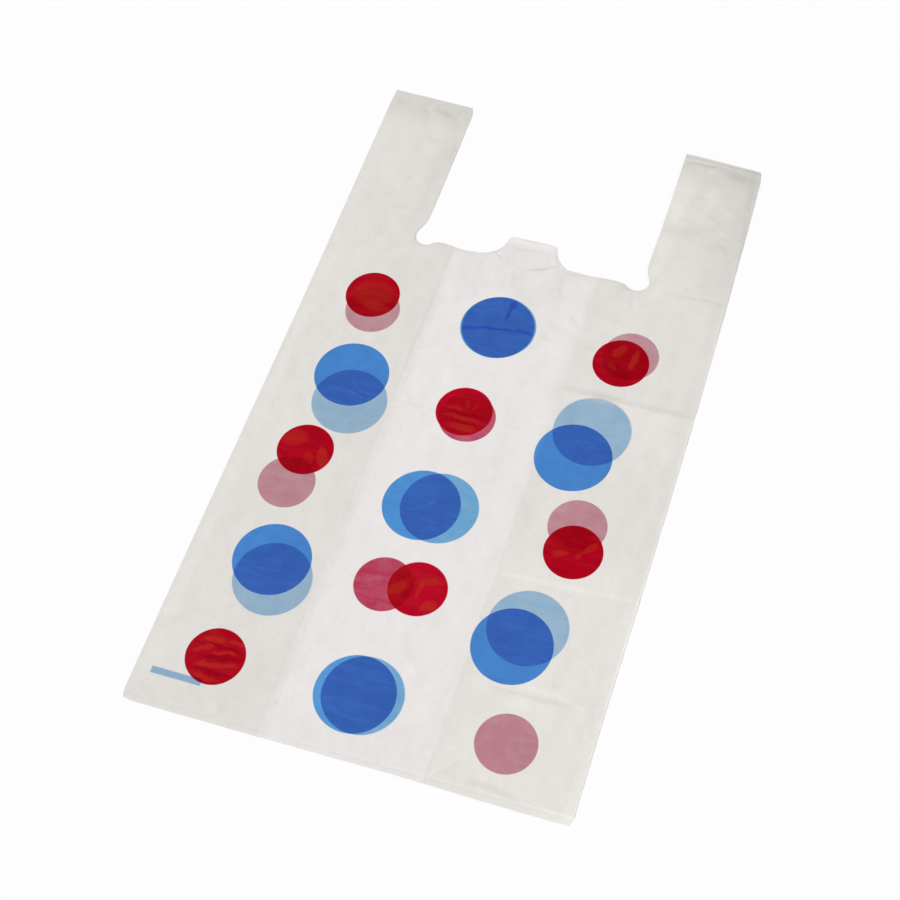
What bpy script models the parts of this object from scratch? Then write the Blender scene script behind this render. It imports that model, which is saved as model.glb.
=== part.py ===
"""Vest-type carrier bag of thin plastic film, laid flat with its front up.

The whole bag is one gusseted tube of film. It is welded shut along the bottom and across
both handle tops, and one die cut opens the mouth between the handles.
X runs across the bag, Y from the bottom edge to the handles, Z up from the table.
"""

import math

import bmesh
import bpy
import numpy as np

# The flat bag, in metres
BAG_WIDTH = 0.300
LEFT_TOP = 0.5426  # bottom edge to the cut across the left handle, on the handle's middle line
RIGHT_TOP = 0.5362  # the same on the right handle
TOP_SLANT = 0.062  # fall of each handle's cut for each metre to the right

# The film and the way it is folded
FILM = 0.00025
PLY_GAP = 0.0003  # air between two plies that lie on each other
LEFT_GUSSET = 0.0930  # outer edge to the tip of the inner fold
RIGHT_GUSSET = 0.0960
DRAPE = 0.0060  # width in which the front sinks from four plies to two
DRAPE_CLEARANCE = 0.0015  # from the fold's tip to where the front starts to sink

# Welds across the bottom and the handle tops
WELD_INSET = 0.0036  # cut edge to the weld
WELD_WIDTH = 0.0014
WELD_MARGIN = 0.0020  # film beyond the weld that stays pressed flat
WELD_GAP = 0.0001  # air between the plies where they are pressed flat
WELD_EASE = 0.0300  # length in which the plies open out again
DRAW_IN = 0.0022  # how far heat pulls in each corner at a cut edge

# The mouth
LEFT_HANDLE = 0.0672
RIGHT_HANDLE = 0.0624
HEM_HEIGHT = 0.4048  # bottom edge to the mouth's edge
NOTCH_RADIUS = 0.0087  # round relief at the foot of each handle
NOTCH_INSET = 0.0040  # its centre from the handle's edge
NOTCH_RISE = 0.0048  # its centre above the mouth's edge
NOTCH_SLANT = 0.0150  # its centre up to where the cut meets the handle's edge
HEM_FILLET = 0.0050  # from the notch into the mouth's edge

# The tab that held the bag in its pack
TAB_OFFSET = 0.0002
TAB_WIDTH = 0.0385
TAB_HEIGHT = 0.0202  # above the mouth's edge, on the back
TAB_FRONT_HEIGHT = 0.0115  # the same on the front, which tore off lower
TAB_CORNER = 0.0045
TAB_LEAN = 0.0034  # how much wider each side is at the tab's foot
TAB_FOOT = 0.0078  # height of the foot above the mouth's edge
TAB_FLANK = 0.0248  # radius of the sweep from the mouth's edge to the foot

# Relief: folds from the pack, and the air that is left between them
# height up the bag, rise at the left edge, rise at the right edge
PACK_FOLDS = (
    (0.0730, 0.0001, 0.0003),
    (0.1530, 0.0002, 0.0006),
    (0.3030, 0.0004, 0.0009),
)
FOLD_REACH = 0.0060  # half the width of a pack fold's ridge
SWELL = 0.0008  # how far the front stands up in the middle of a field between folds

# Fineness of the mesh
ROW_PITCH = 0.0300
SIDE_STEPS = 3
CENTRE_STEPS = 4
FOLD_STEPS = 4
ARC_STEP = math.radians(15)

OVERSHOOT = 0.0100  # how far a cutter runs past the film

# Levels of the four plies' middle surfaces, from the back up
LEVELS = [FILM / 2 + ply * (FILM + PLY_GAP) for ply in range(4)]
FOLD_RADIUS = (FILM + PLY_GAP) / 2

# Places across the bag
EDGE = BAG_WIDTH / 2 - FILM / 2 - FOLD_RADIUS
LEFT_TIP = -BAG_WIDTH / 2 + LEFT_GUSSET
RIGHT_TIP = BAG_WIDTH / 2 - RIGHT_GUSSET
LEFT_INNER = LEFT_TIP - FILM / 2 - FOLD_RADIUS
RIGHT_INNER = RIGHT_TIP + FILM / 2 + FOLD_RADIUS
LEFT_SINK = LEFT_TIP + DRAPE_CLEARANCE
RIGHT_SINK = RIGHT_TIP - DRAPE_CLEARANCE
MOUTH_LEFT = -BAG_WIDTH / 2 + LEFT_HANDLE
MOUTH_RIGHT = BAG_WIDTH / 2 - RIGHT_HANDLE

# Heights of the handle cuts' corners, and the bag's whole length
LEFT_CORNERS = (LEFT_TOP + TOP_SLANT * LEFT_HANDLE / 2, LEFT_TOP - TOP_SLANT * LEFT_HANDLE / 2)
RIGHT_CORNERS = (RIGHT_TOP + TOP_SLANT * RIGHT_HANDLE / 2, RIGHT_TOP - TOP_SLANT * RIGHT_HANDLE / 2)
BAG_LENGTH = max(LEFT_CORNERS + RIGHT_CORNERS)
TAB_TOP = HEM_HEIGHT + TAB_HEIGHT
PRESSED = WELD_INSET + WELD_WIDTH + WELD_MARGIN


def smooth(t):
    """Zero to one with level ends, for t from zero to one."""
    t = np.clip(t, 0.0, 1.0)
    return t * t * (3.0 - 2.0 * t)


def clear_scene():
    for obj in list(bpy.data.objects):
        bpy.data.objects.remove(obj, do_unlink=True)


def new_collection(name):
    collection = bpy.data.collections.new(name)
    bpy.context.scene.collection.children.link(collection)
    return collection


def film_material():
    """Milky film with a soft shine."""
    material = bpy.data.materials.new("milky_film")
    material.use_nodes = True
    shader = material.node_tree.nodes["Principled BSDF"]
    shader.inputs["Base Color"].default_value = (0.76, 0.75, 0.72, 1.0)
    shader.inputs["Roughness"].default_value = 0.35
    shader.inputs["Metallic"].default_value = 0.0
    return material


def fold(x, start, end, side):
    """A half-round fold centred at x from one level to another, towards side (-1 or 1)."""
    middle = (start + end) / 2
    angles = np.linspace(-math.pi / 2, math.pi / 2, FOLD_STEPS + 1)
    return [(x + side * FOLD_RADIUS * math.cos(a), middle + (end - start) / 2 * math.sin(a)) for a in angles]


def front_level(x):
    """Level of the front panel at x: on four plies at the sides, on the back in the middle."""
    places = [LEFT_SINK, LEFT_SINK + DRAPE, RIGHT_SINK - DRAPE, RIGHT_SINK]
    return np.interp(x, places, [LEVELS[3], LEVELS[1], LEVELS[1], LEVELS[3]])


def section():
    """The closed line of the film across the bag, as points (x, z)."""
    left_side = np.linspace(-EDGE, LEFT_INNER, SIDE_STEPS + 1)
    right_side = np.linspace(RIGHT_INNER, EDGE, SIDE_STEPS + 1)
    centre = np.linspace(LEFT_SINK + DRAPE, RIGHT_SINK - DRAPE, CENTRE_STEPS + 1)
    back, lower, upper, front = LEVELS
    across = [*left_side[1:], *centre, *right_side[:-1]]
    over = [*left_side[1:], LEFT_SINK, *centre, RIGHT_SINK, *right_side[:-1]]

    points = [(x, back) for x in across]
    points += fold(EDGE, back, lower, 1)
    points += [(x, lower) for x in right_side[-2:0:-1]]
    points += fold(RIGHT_INNER, lower, upper, -1)
    points += [(x, upper) for x in right_side[1:-1]]
    points += fold(EDGE, upper, front, 1)
    points += [(x, float(front_level(x))) for x in reversed(over)]
    points += fold(-EDGE, front, upper, -1)
    points += [(x, upper) for x in left_side[1:-1]]
    points += fold(LEFT_INNER, upper, lower, 1)
    points += [(x, lower) for x in left_side[-2:0:-1]]
    points += fold(-EDGE, lower, back, -1)
    return points


def rows():
    """Heights of the film's cross rows: at every fold and weld, and no further apart than the pitch."""
    stops = [0.0, PRESSED, PRESSED + WELD_EASE, HEM_HEIGHT - FOLD_REACH, TAB_TOP]
    stops += [BAG_LENGTH - PRESSED - WELD_EASE, BAG_LENGTH - PRESSED, BAG_LENGTH]
    for height, _, _ in PACK_FOLDS:
        stops += [height - FOLD_REACH, height, height + FOLD_REACH]
    stops.sort()
    heights = [stops[0]]
    for low, high in zip(stops, stops[1:]):
        steps = max(1, math.ceil((high - low) / ROW_PITCH - 0.2))
        heights += list(np.linspace(low, high, steps + 1)[1:])
    return heights


def top_edge(x):
    """Height of the handle cuts at x. Between the handles it only bridges what the mouth takes away."""
    places = [-BAG_WIDTH / 2, MOUTH_LEFT, MOUTH_RIGHT, BAG_WIDTH / 2]
    return np.interp(x, places, [*LEFT_CORNERS, *RIGHT_CORNERS])


def ridge(x, y):
    """Rise of all plies along the pack folds: a straight-sided ridge, higher towards the right."""
    rise = 0.0
    for height, left, right in PACK_FOLDS:
        along = left + (right - left) * (x / BAG_WIDTH + 0.5)
        rise += along * max(0.0, 1.0 - abs(y - height) / FOLD_REACH)
    return rise


def swell(x, y):
    """Rise of the front between folds: a sine-squared hump in each field that the folds bound."""
    across = sorted([-BAG_WIDTH / 2, LEFT_TIP, RIGHT_TIP, BAG_WIDTH / 2])
    along = sorted([0.0, *[height for height, _, _ in PACK_FOLDS], HEM_HEIGHT, BAG_LENGTH])
    share = SWELL
    for place, bounds in ((x, across), (y, along)):
        for low, high in zip(bounds, bounds[1:]):
            if low <= place <= high:
                share *= math.sin(math.pi * (place - low) / (high - low)) ** 2
    return share


def settle(x, y, z):
    """Moves a point of the straight tube to where it lies on the finished bag."""
    from_end = min(y, BAG_LENGTH - y)
    open_share = float(smooth((from_end - PRESSED) / WELD_EASE))
    gap = WELD_GAP + (PLY_GAP - WELD_GAP) * open_share
    height = (z - LEVELS[0]) / (float(front_level(x)) - LEVELS[0])
    lying = LEVELS[0] + (z - LEVELS[0]) * (FILM + gap) / (FILM + PLY_GAP)
    lying += (ridge(x, y) + swell(x, y) * height) * open_share
    narrowing = DRAW_IN * max(0.0, 1.0 - from_end / PRESSED) / (BAG_WIDTH / 2)
    beyond = max(0.0, y - TAB_TOP) / (BAG_LENGTH - TAB_TOP)
    lengthwise = y + beyond * (float(top_edge(x)) - BAG_LENGTH)
    return (x * (1.0 - narrowing), lengthwise - BAG_LENGTH / 2, lying)


def settle_mesh(bm):
    for vert in bm.verts:
        vert.co = settle(*vert.co)


def add_object(name, bm, collection):
    mesh = bpy.data.meshes.new(name)
    bm.to_mesh(mesh)
    bm.free()
    obj = bpy.data.objects.new(name, mesh)
    collection.objects.link(obj)
    return obj


def film_tube(collection):
    """The tube: the section extruded row by row, settled, and given the film's thickness."""
    bm = bmesh.new()
    ring = [bm.verts.new((x, 0.0, z)) for x, z in section()]
    edges = [bm.edges.new((ring[i - 1], ring[i])) for i in range(len(ring))]
    heights = rows()
    for below, above in zip(heights, heights[1:]):
        made = bmesh.ops.extrude_edge_only(bm, edges=edges)["geom"]
        moved = [item for item in made if isinstance(item, bmesh.types.BMVert)]
        edges = [item for item in made if isinstance(item, bmesh.types.BMEdge)]
        bmesh.ops.translate(bm, verts=moved, vec=(0.0, above - below, 0.0))
    bmesh.ops.recalc_face_normals(bm, faces=bm.faces)
    settle_mesh(bm)
    bag = add_object("carrier_bag", bm, collection)
    solidify = bag.modifiers.new("film", "SOLIDIFY")
    solidify.thickness = FILM
    solidify.offset = 0.0
    solidify.use_even_offset = True
    return bag


def weld_bar(name, span, heights, collection):
    """What joins the plies along a weld: the space between the back's and the front's middle surfaces."""
    bends = [LEFT_SINK, LEFT_SINK + DRAPE, RIGHT_SINK - DRAPE, RIGHT_SINK]
    over = [span[0], *[x for x in bends if span[0] < x < span[1]], span[1]]
    outline = [(span[0], LEVELS[0]), (span[1], LEVELS[0])]
    outline += [(x, float(front_level(x))) for x in reversed(over)]
    bm = bmesh.new()
    face = bm.faces.new([bm.verts.new((x, heights[0], z)) for x, z in outline])
    made = bmesh.ops.extrude_face_region(bm, geom=[face])["geom"]
    moved = [item for item in made if isinstance(item, bmesh.types.BMVert)]
    bmesh.ops.translate(bm, verts=moved, vec=(0.0, heights[1] - heights[0], 0.0))
    bmesh.ops.recalc_face_normals(bm, faces=bm.faces)
    settle_mesh(bm)
    return add_object(name, bm, collection)


def arc(centre, radius, start, end):
    """Points of an arc from one angle to another, both ends included."""
    steps = max(2, math.ceil(abs(end - start) / ARC_STEP))
    angles = np.linspace(start, end, steps + 1)
    return [(centre[0] + radius * math.cos(a), centre[1] + radius * math.sin(a)) for a in angles]


def mouth_side(handle_edge):
    """Half of the mouth's cut for a handle on the right, from the handle's top to the tab's top.

    The cut runs down the handle's edge, out into the round notch, over a fillet to the mouth's
    edge, and sweeps up to the tab. x is measured from the tab's middle.
    """
    notch = (handle_edge - NOTCH_INSET, HEM_HEIGHT + NOTCH_RISE)
    start = (handle_edge, notch[1] + NOTCH_SLANT)
    towards = math.atan2(NOTCH_SLANT, NOTCH_INSET)
    touch = towards - math.acos(NOTCH_RADIUS / math.hypot(NOTCH_SLANT, NOTCH_INSET))
    drop = NOTCH_RISE + HEM_FILLET
    side = math.sqrt((NOTCH_RADIUS + HEM_FILLET) ** 2 - drop**2)
    fillet = (notch[0] - side, HEM_HEIGHT - HEM_FILLET)
    leave = math.atan2(-drop, -side)

    foot = (TAB_WIDTH / 2 + TAB_LEAN, HEM_HEIGHT + TAB_FOOT)
    sweep = math.acos(1.0 - TAB_FOOT / TAB_FLANK)
    flank = (foot[0] + TAB_FLANK * math.sin(sweep), HEM_HEIGHT + TAB_FLANK)
    corner = (TAB_WIDTH / 2 - TAB_CORNER, TAB_TOP - TAB_CORNER)

    points = [(handle_edge, BAG_LENGTH + OVERSHOOT), start]
    points += arc(notch, NOTCH_RADIUS, touch, leave)
    points += arc(fillet, HEM_FILLET, leave + math.pi, math.pi / 2)[1:]
    points += arc(flank, TAB_FLANK, -math.pi / 2, -math.pi / 2 - sweep)
    points += arc(corner, TAB_CORNER, 0.0, math.pi / 2)
    return points


def plate(name, outline, low, high, collection):
    """A flat plate between two heights, from a filled outline extruded both ways."""
    curve = bpy.data.curves.new(name + "_outline", "CURVE")
    curve.dimensions = "2D"
    curve.fill_mode = "BOTH"
    curve.extrude = (high - low) / 2
    spline = curve.splines.new("POLY")
    spline.points.add(len(outline) - 1)
    for point, (x, y) in zip(spline.points, outline):
        point.co = (x, y - BAG_LENGTH / 2, 0.0, 1.0)
    spline.use_cyclic_u = True
    guide = bpy.data.objects.new(name + "_outline", curve)
    guide.location.z = (low + high) / 2
    collection.objects.link(guide)
    bpy.context.view_layer.update()
    mesh = bpy.data.meshes.new_from_object(guide.evaluated_get(bpy.context.evaluated_depsgraph_get()))
    bm = bmesh.new()
    bm.from_mesh(mesh)
    bmesh.ops.remove_doubles(bm, verts=bm.verts, dist=1e-6)
    bmesh.ops.recalc_face_normals(bm, faces=bm.faces)
    bm.to_mesh(mesh)
    bm.free()
    obj = bpy.data.objects.new(name, mesh)
    obj.matrix_world = guide.matrix_world
    collection.objects.link(obj)
    bpy.data.objects.remove(guide, do_unlink=True)
    return obj


def mouth_cutter(collection):
    """Everything between the handles, down to the mouth's edge and round the tab."""
    right = mouth_side(MOUTH_RIGHT - TAB_OFFSET)
    left = mouth_side(TAB_OFFSET - MOUTH_LEFT)
    outline = [(TAB_OFFSET + x, y) for x, y in right]
    outline += [(TAB_OFFSET - x, y) for x, y in reversed(left)]
    return plate("mouth_cutter", outline, -OVERSHOOT, LEVELS[3] + OVERSHOOT, collection)


def tab_trimmer(collection):
    """Takes the front film off the upper part of the tab, from midway between the two plies up."""
    reach = TAB_WIDTH / 2 + TAB_LEAN + TAB_CORNER
    low, high = HEM_HEIGHT + TAB_FRONT_HEIGHT, TAB_TOP + OVERSHOOT
    left, right = TAB_OFFSET - reach, TAB_OFFSET + reach
    outline = [(left, low), (right, low), (right, high), (left, high)]
    floor = (LEVELS[0] + LEVELS[1]) / 2
    return plate("tab_trimmer", outline, floor, LEVELS[3] + OVERSHOOT, collection)


def combine(target, operation, tool):
    """Cuts or joins a helper to the film. The helper stays in the file as a wire guide."""
    modifier = target.modifiers.new(tool.name, "BOOLEAN")
    modifier.operation = operation
    modifier.object = tool
    tool.hide_render = True
    tool.display_type = "WIRE"


def build():
    clear_scene()
    part = new_collection("carrier_bag")
    helpers = new_collection("cutters")
    bag = film_tube(part)
    bag.data.materials.append(film_material())
    bottom = (WELD_INSET, WELD_INSET + WELD_WIDTH)
    top = (BAG_LENGTH - WELD_INSET - WELD_WIDTH, BAG_LENGTH - WELD_INSET)
    combine(bag, "UNION", weld_bar("bottom_weld", (-EDGE, EDGE), bottom, helpers))
    combine(bag, "UNION", weld_bar("left_handle_weld", (-EDGE, MOUTH_LEFT + OVERSHOOT), top, helpers))
    combine(bag, "UNION", weld_bar("right_handle_weld", (MOUTH_RIGHT - OVERSHOOT, EDGE), top, helpers))
    combine(bag, "DIFFERENCE", mouth_cutter(helpers))
    combine(bag, "DIFFERENCE", tab_trimmer(helpers))


build()
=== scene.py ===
"""Looks of a vest-type carrier bag of thin milky film, lying flat on a pale floor.

The file is laid out as an add-on and is run as a script. Metres, +Z up. The origin is the centre of
the flat bag's outline, on the floor. Heights up the bag are written from its bottom edge.
"""

import math

import bpy
import numpy as np
from mathutils import Matrix, Vector


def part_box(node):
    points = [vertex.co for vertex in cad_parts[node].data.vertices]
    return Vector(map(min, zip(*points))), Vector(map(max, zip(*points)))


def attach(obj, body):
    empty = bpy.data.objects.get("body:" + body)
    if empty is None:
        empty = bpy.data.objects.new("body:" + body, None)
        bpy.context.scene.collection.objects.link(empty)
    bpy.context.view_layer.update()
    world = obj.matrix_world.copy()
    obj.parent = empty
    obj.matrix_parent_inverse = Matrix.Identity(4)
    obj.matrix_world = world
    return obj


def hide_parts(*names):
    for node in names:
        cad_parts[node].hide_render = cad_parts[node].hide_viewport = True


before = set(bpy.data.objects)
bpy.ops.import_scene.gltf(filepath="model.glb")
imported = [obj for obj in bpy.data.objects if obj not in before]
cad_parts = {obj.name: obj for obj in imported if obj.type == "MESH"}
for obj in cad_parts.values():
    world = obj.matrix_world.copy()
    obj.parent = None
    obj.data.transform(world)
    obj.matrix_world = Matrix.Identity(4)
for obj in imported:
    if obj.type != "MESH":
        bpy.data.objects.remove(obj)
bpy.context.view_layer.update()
BAG_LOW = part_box("carrier_bag")[0]

bl_info = {
    "name": "Carrier Bag Looks",
    "version": (1, 0, 0),
    "blender": (4, 5, 0),
    "location": "3D View > Sidebar > Bag",
    "description": "Film, print, folds and studio for a flat carrier bag",
    "category": "Object",
}

MM = 0.001

# The bag's outline on the floor, in millimetres across and up from the bottom edge
LEFT_SIDE = (
    (0, -148.6), (1.3, -149.5), (4.7, -150.2), (12, -150.4), (60, -150.4), (200, -150), (345, -149.5),
    (425, -149.8), (480, -150), (528, -150.2), (545, -149.7),
)
RIGHT_SIDE = (
    (0, 146.3), (1.7, 147.1), (4.2, 147.4), (5, 148.2), (7.7, 148.6), (60, 148.6), (100, 149), (160, 149.7),
    (260, 150.3), (340, 150.4), (400, 150), (480, 149), (524, 147.8), (534, 146.7), (538, 145.6),
)
BOTTOM = (
    (-150, 0.6), (-147, -0.2), (-140, -0.4), (-70, -0.1), (0, 0.5), (40, 1), (100, 0.6), (140, 0.7), (150, 1),
)
LEFT_TOP = ((-150, 544.4), (-93.6, 541.3), (-85.3, 540.4), (-83, 539.6))
RIGHT_TOP = ((87, 537.6), (88.6, 538.2), (143, 535), (150, 534.1))

# The mouth: two round notches, the hem between them and the tab
LEFT_NOTCH = (-79.5, 409.4, 8.6)
RIGHT_NOTCH = (82.7, 410, 8.9)
LEFT_HANDLE_EDGE = (
    (411, -88), (413, -87.4), (415.5, -86.3), (420, -84.7), (425, -83.5), (435, -83.3), (532, -83.2),
    (537, -84.1), (541, -85.4),
)
RIGHT_HANDLE_EDGE = (
    (412, 91.2), (414.5, 90.1), (417.5, 88.6), (421, 87.5), (425, 86.9), (435, 87), (470, 87.9), (538, 88.1),
)
LEFT_HEM = ((-72.7, 404.3), (-69.8, 405.6), (-66.5, 405.9), (-59, 405.2), (-51, 404.2), (-44, 404), (-37, 404.9))
RIGHT_HEM = ((37, 404.9), (43, 405.1), (52, 405.4), (61, 405.8), (68, 405.9), (73, 405.2), (76, 404.1))
LEFT_FLANK = ((-31, 406.4), (-26.4, 409), (-22.8, 412.4), (-20.6, 416.4), (-19.3, 420.6))
RIGHT_FLANK = ((19.1, 420.8), (20.6, 416.3), (22.8, 412.5), (26.8, 408.9), (31, 406.3))
TAB_SHOULDERS = ((-18.8, 423.3), (-16.9, 425.1), (-14.1, 425.7), (13.6, 425.6), (16.6, 424.9), (18.5, 423.1))
FRONT_TAB_HEM = ((-30, 418.2), (-19, 416.6), (-8, 416.1), (4, 416.4), (18, 416), (30, 417.5))
MOUTH_FLOOR = 360.0  # below this height the rows run straight
HANDLE_LENGTH = 132.0  # from the notches to the handle tops
WELD_ROWS = (1.3, 2.6, 3.6, 4.4, 5.2, 6.4, 8.4)  # rows of the mesh from each welded end
WELD_WIDTH = 6.5  # from the ends to where the plies begin to part
OPEN_WITHIN = 26.0  # and how far they take to part
CREASE_RELIEF = 0.025  # height in millimetres of a crease of one hundredth
PUCKER_RELIEF = 0.00016  # height in metres of the puckers beside the welds

# The inner folds of the two gussets, across the bag
LEFT_TIP = -57.0
RIGHT_TIP = 54.0

# Dots of the front print and where they lie, in millimetres
RED_RADIUS = 20.05
BLUE_RADIUS = 26.9
FRONT_RED = (
    (-100.3, 345.7), (90, 335.5), (-4.6, 267), (-101.2, 206.8), (98.8, 180.9), (8.3, 126.3), (-102, 43.2),
)
FRONT_BLUE = (
    (-3.5, 342.4), (-91.5, 275.2), (78.8, 251.4), (-9.6, 187.3), (-92.4, 120), (79.7, 104.4), (-6.4, 44.6),
)
# The back carries the same layout, seen from behind, each ink slipped a few millimetres
BACK_RED = (
    (-96, 333.1), (95.2, 343), (-1, 262.7), (-104.5, 178.8), (96.3, 200.3), (-14.5, 123.4), (95.6, 39.9),
)
BACK_BLUE = (
    (-2.4, 342.8), (-85.2, 252.9), (85.5, 274.2), (3, 188.3), (-86.8, 106.2), (85.8, 119.5), (-1.2, 45.2),
)
DRAWN_UP = (85.8, 276)  # where the fold above the third blue dot draws its print up
GUIDE_BAR = (-139, -104, 23.4, 5.2)  # printed bar on the back: ends, height, width

# Folds left by the pack: height up the bag, rise at the left and at the right edge. A negative rise is a valley.
PACK_FOLDS = ((73, 0.06, 0.30), (154, 0.06, 0.60), (303, -0.10, -0.80), (404.5, -0.04, -0.40))

# Soft creases of the front film: middle, half length, half width, turn in degrees and how much painted shade (below
# zero, pressed in) or painted light (above zero, standing up) lies along them, in hundredths. The same numbers set
# their relief.
CREASES = (
    (106, 530.4, 18, 1.5, -1, -8), (132, 524.3, 14, 4.4, -14, -5), (101, 524.8, 5, 2.2, -25, 2),
    (110.8, 525.3, 3, 2, -30, 5), (104, 497, 10, 3.4, 8, -2.5), (132.5, 486.5, 5, 3.2, -40, 3),
    (122.5, 479.5, 7.5, 1.5, -22, -4), (131.5, 467.8, 4.5, 2.6, -35, 4), (136, 454.5, 6, 2.2, -33, -4),
    (100, 461.5, 13, 5.5, 6, -4), (104, 473.5, 7, 2.6, -12, -2.5), (118, 468, 14, 7, 8, -1.8),
    (97, 413, 5, 4.5, -45, -3), (122, 404, 13, 2, 2, -3), (140, 404.4, 9, 1.4, -8, -5), (134, 408, 2.5, 1.4, 0, 4),
    (146.6, 485, 50, 3, 90, -6), (136, 470, 4, 1.6, -70, 3), (116, 505, 8, 2.5, 60, 2),
    (-141.5, 533, 4.5, 3.5, 30, -3), (-120.5, 527.5, 4, 2.5, -30, -3), (-103.5, 529.5, 10.5, 3.2, -22, -6),
    (-116.8, 533.3, 2.4, 1.4, 90, 4), (-104, 500.5, 5.5, 2.2, -12, -3), (-86.2, 494, 12, 2, 90, -5),
    (-103.5, 430, 10, 1.8, 0, -3), (-121.8, 438.5, 2.5, 1.8, 0, -3), (-112, 460, 5, 2, -10, -2),
    (-139, 475, 24, 3.5, 85, -1.5), (-105, 404, 7, 2.2, 10, -2), (-131, 536.5, 2.5, 1.8, 60, 3),
    (-4.4, 387.5, 9, 2.4, -66, -3.2), (-9.6, 389, 7, 2, -66, 1.5), (8, 388, 9, 3.5, -70, 1.5),
    (-31.5, 395, 5, 2, -70, -1.5), (31.2, 386, 9, 2.6, -66, -3.2), (53, 381.5, 8, 2, -75, -2),
    (48.3, 362, 7, 1.3, -37, -4.5), (35.4, 353.7, 6, 1.5, 0, -3.5), (42.5, 350.8, 4, 1.4, -43, -3),
    (34.3, 342.6, 8.5, 1.7, 5, -3), (48.5, 354, 8, 1.6, -38, 2), (60, 342.5, 8, 1.6, -3, -2.5),
    (83, 389, 6, 1.8, -80, -2.5), (87.5, 389, 6, 2.4, -80, 2), (68, 388.5, 2.5, 2.2, 0, -2),
    (78.5, 368.8, 7, 1.4, 6, -2), (33, 404, 8, 1.5, -9, -3), (77, 401, 7, 1.5, -6, -4),
    (48, 394, 7, 3.5, -65, 1.5), (-52.5, 394, 7, 3, 80, 1.5), (95, 73.9, 20, 1.8, 2, -5.5),
    (118, 74.8, 14, 1.8, 2, -3.2), (86, 305.2, 20, 2.8, 0, -5.5), (97, 67.3, 13, 3.6, 0, 2.5),
    (116, 79.3, 8, 1.7, 2, 2), (113.5, 86, 6, 3, 0, -2), (62, 13.8, 12, 1.2, 52, 3), (71, 23.3, 5, 1.3, 35, 2),
    (69, 14, 9, 5, 45, -2.5), (90, 10, 10, 3, -5, -5.5), (103, 8.6, 10, 2.2, -8, -5), (87, 13.2, 5, 1.3, 35, 2),
    (15.4, 101.8, 2.5, 1.2, -35, -5), (-53, 24.8, 1.6, 1.3, 0, -6), (-44, 311, 12, 2, 22, 1.5),
    (12, 401.5, 9.5, 1.3, 20, -5), (-22, 407.8, 5, 1.9, 40, 2), (19.2, 409.8, 6, 2, -50, 2.5),
    (20.4, 414.5, 4.5, 0.9, -68, -6), (24.4, 410.2, 3.5, 0.9, -44, -5), (-21.6, 413.5, 4.5, 0.8, 64, -4),
    (-26, 409, 4, 0.8, 40, -4), (0, 415.4, 18, 0.8, 0, -4), (108, 148.5, 9, 2.8, -12, -2.5), (100, 120, 3, 9, 0, 1),
    (-88.7, 408, 4.5, 0.9, -84, -7), (-86.6, 402.9, 4, 0.9, -48, -7), (-80.8, 400, 4.5, 1, -10, -6),
    (-74.4, 401.8, 3.5, 1, 36, -4), (-65, 404.9, 8, 1, 2, -6), (-52, 403.3, 8, 1, -10, -5),
    (-40, 403.5, 6, 1, 10, -3), (82.5, 400.2, 5, 1, 0, -6), (89.6, 402.8, 4, 0.9, 45, -4),
    (92.4, 408, 4, 0.9, 80, -4), (76.2, 402.6, 4, 0.9, -40, -6), (45, 404.1, 14, 1, 2, -4),
    (66, 404.8, 10, 1.1, 0, -6), (126, 304.8, 17, 2.2, -3, -4), (141, 289.5, 6, 1.4, -15, -3),
    (147, 277, 14, 1.8, 85, -2.5), (138, 80, 16, 1.3, 14, -2.5), (136, 91, 12, 1.2, 20, 1.5),
    (-112, 396, 9, 2.2, 12, 1.5), (-96, 389, 12, 2.2, 35, 2), (-89, 381, 8, 2.2, 50, -1.5),
    (-112, 401, 8, 1.8, -8, -2), (112, 461, 24, 12, 0, -1.8), (110, 490, 20, 9, 0, -1.6), (110, 318, 30, 9, 0, -1.5),
    (104, 79.4, 16, 2, 2, 2.5), (-30, 372, 8, 2.2, -70, -1.5), (-42, 262.8, 14, 1.3, 0, -1.8),
    (36, 263.5, 17, 1.3, 0, -1.8), (-125, 70, 22, 1.6, 0, -1.2), (-20, 385, 9, 2.4, -65, 1.5),
    (14, 390, 9, 2.6, -70, 1.5),
)

# Painted shade and highlights, listed as the creases are, on the single ply at the top of the tab
TAB_SHADE_AND_HIGHLIGHTS = (
    (-0.5, 424.9, 18, 0.9, 0, -9), (-8, 422.6, 7, 1, 0, 3), (5, 422.8, 7, 1, 0, 3),
    (-18.2, 420.5, 5, 0.8, 72, -6), (18, 420.3, 5.5, 1, -72, -8), (0, 416.8, 15, 1, 0, -4),
)

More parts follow.
